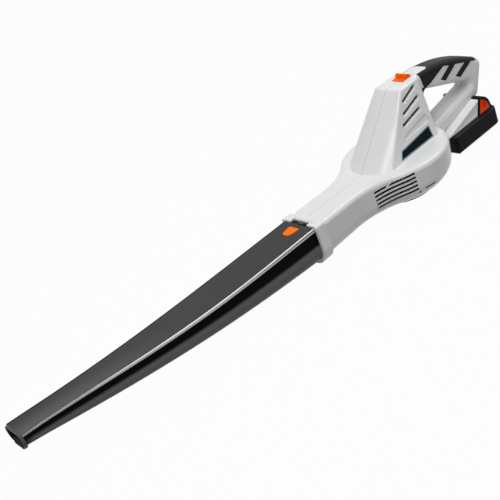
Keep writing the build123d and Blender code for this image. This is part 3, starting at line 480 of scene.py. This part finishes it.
# Inner black mouldings, screwed or clipped inside the shell and the pack: fan, grille,
# motor plate, end bell, switch, cradle and the springy latch tongues.
inner_black = moulded(
    "inner_black",
    colour=(0.025, 0.025, 0.026, 1),
    second_tone=(0.05, 0.05, 0.05, 1),
    rough=0.5,
    grain_scale=1200.0,
    grain_depth=0.0002,
)
dress(inner_black, "intake_grille", "impeller", "motor_plate", "motor_end_bell")
dress(inner_black, "switch_module", "cell_cradle", "nozzle_catch")
dress(inner_black, "battery_catch_left", "battery_catch_right")


# Metal inside: plated screws, shaft, nut and bearings, the motor can, its magnets, the
# wound armature and the brass terminals. Turning marks run round each piece.
def turned(name, colour, second_tone, metal, rough):
    """A metal with fine rings round its axis and a few dull spots."""
    material, shader, place = new_finish(name)
    marks = noise(place.stretched((60.0, 60.0, 2400.0)), 1.0)
    spots = clouding(place, 220.0).between(0.55, 0.75)
    (spots * 0.4).mix(colour, second_tone).feed(shader, "Base Color")
    (rough + marks * 0.15).feed(shader, "Roughness")
    (metal - spots * 0.2).feed(shader, "Metallic")
    bump(shader, marks, depth=0.00005, strength=0.2)
    return material


plated_steel = turned(
    "plated_steel", (0.6, 0.6, 0.6, 1), (0.35, 0.34, 0.33, 1), metal=1.0, rough=0.25
)
dress(plated_steel, "housing_screws", "motor_screws", "motor_shaft", "impeller_nut")
dress(plated_steel, "front_bearing", "rear_bearing")
can_steel = turned("can_steel", (0.42, 0.42, 0.43, 1), (0.3, 0.3, 0.3, 1), metal=0.9, rough=0.35)
dress(can_steel, "motor_can")
ferrite = turned("ferrite", (0.08, 0.08, 0.085, 1), (0.12, 0.11, 0.1, 1), metal=0.3, rough=0.55)
dress(ferrite, "motor_magnets")
wound_copper = turned(
    "wound_copper", (0.55, 0.26, 0.12, 1), (0.3, 0.28, 0.27, 1), metal=0.9, rough=0.35
)
dress(wound_copper, "motor_armature")
contact_brass = turned(
    "contact_brass", (0.75, 0.55, 0.25, 1), (0.5, 0.35, 0.15, 1), metal=1.0, rough=0.3
)
dress(contact_brass, "terminal_block")

# Boards and cells: green laminate boards, one in the shell and one in the pack, and five
# sleeved cells. They are unseen while the tool and the pack are shut.
board_green = moulded(
    "board_green",
    colour=(0.02, 0.13, 0.05, 1),
    second_tone=(0.05, 0.2, 0.08, 1),
    rough=0.4,
    grain_scale=700.0,
    grain_depth=0.0001,
)
dress(board_green, "control_board", "protection_board")
cell_sleeve = moulded(
    "cell_sleeve",
    colour=(0.03, 0.2, 0.3, 1),
    second_tone=(0.06, 0.26, 0.36, 1),
    rough=0.35,
    grain_scale=1500.0,
    grain_depth=0.00005,
)
dress(cell_sleeve, "battery_cells")


# Stage: a white floor that keeps a faint shadow, an even white room, a large soft lamp
# above the nozzle and a narrower one high behind the handle that lights the upper edges.
def sharp_ray(wire):
    """1 for a ray that is seen, mirrored or let through, and 0 for scattered light."""
    kinds = ("Is Camera Ray", "Is Glossy Ray", "Is Transmission Ray")
    seen, glossy, through = [wire.node("ShaderNodeLightPath", output=kind) for kind in kinds]
    return seen.most(glossy).most(through)


def soft_lamp(name, place, target, length, width, power):
    data = bpy.data.lights.new(name, "AREA")
    data.shape = "RECTANGLE"
    data.size = length
    data.size_y = width
    data.energy = power
    lamp = bpy.data.objects.new(name, data)
    lamp.location = place
    lamp.rotation_euler = (Vector(target) - Vector(place)).to_track_quat("-Z", "Y").to_euler()
    bpy.context.scene.collection.objects.link(lamp)


white = (1.0, 1.0, 1.0, 1)
floor_colour = (0.34, 0.34, 0.34, 1)
floor_rough = 0.9
floor_glow = 0.97
floor_size = 14.0
floor_drop = 0.0006
bpy.ops.mesh.primitive_plane_add(size=floor_size, location=(0, 0, -floor_drop))
floor = bpy.context.active_object
floor.name = "floor"
bpy.ops.object.transform_apply(location=True, rotation=True, scale=True)
floor_paint = bpy.data.materials.new("floor_white")
floor_paint.use_nodes = True
floor_tree = floor_paint.node_tree
floor_shader = floor_tree.nodes["Principled BSDF"]
floor_shader.inputs["Base Color"].default_value = floor_colour
floor_shader.inputs["Roughness"].default_value = floor_rough
floor_shader.inputs["Specular IOR Level"].default_value = 0.0
room = Wire(floor_tree)
glow = room.node("ShaderNodeEmission", None, {"Color": white, "Strength": 1.0})
plain = Wire(floor_tree, floor_shader.outputs["BSDF"])
share = sharp_ray(room) * floor_glow
blend = room.node("ShaderNodeMixShader", None, {0: share, 1: plain, 2: glow})
blend.feed(floor_tree.nodes["Material Output"], "Surface")
floor.data.materials.append(floor_paint)

room_light = 0.36
world = bpy.data.worlds.new("studio")
world.use_nodes = True
bpy.context.scene.world = world
backdrop = world.node_tree.nodes["Background"]
backdrop.inputs["Color"].default_value = white
strength = room_light + (1.0 - room_light) * sharp_ray(Wire(world.node_tree))
strength.feed(backdrop, "Strength")

soft_lamp(
    "key_lamp",
    place=(-0.75, -0.42, 1.55),
    target=(-0.1, 0, 0.1),
    length=0.8,
    width=0.8,
    power=12.0,
)
soft_lamp(
    "rim_lamp",
    place=(0.75, -0.1, 1.35),
    target=(-0.1, 0, 0.08),
    length=0.24,
    width=0.8,
    power=6.5,
)

# Camera: where the photograph was taken from, tipped to the right about its own axis.
camera_place = (-0.876294, -1.017970, 0.707195)
camera_turn = -30.08
camera_tilt = 61.89
camera_roll = -22.52
camera_lens = 72.57
camera_sensor = 36.0
camera_data = bpy.data.cameras.new("camera")
camera_data.lens = camera_lens
camera_data.sensor_width = camera_sensor
camera = bpy.data.objects.new("camera", camera_data)
bpy.context.scene.collection.objects.link(camera)
aim = Euler((math.radians(camera_tilt), 0, math.radians(camera_turn))).to_matrix()
aim = aim @ Matrix.Rotation(math.radians(camera_roll), 3, "Z")
camera.matrix_world = Matrix.Translation(camera_place) @ aim.to_4x4()
bpy.context.scene.camera = camera
bpy.context.scene.view_settings.view_transform = "Standard"
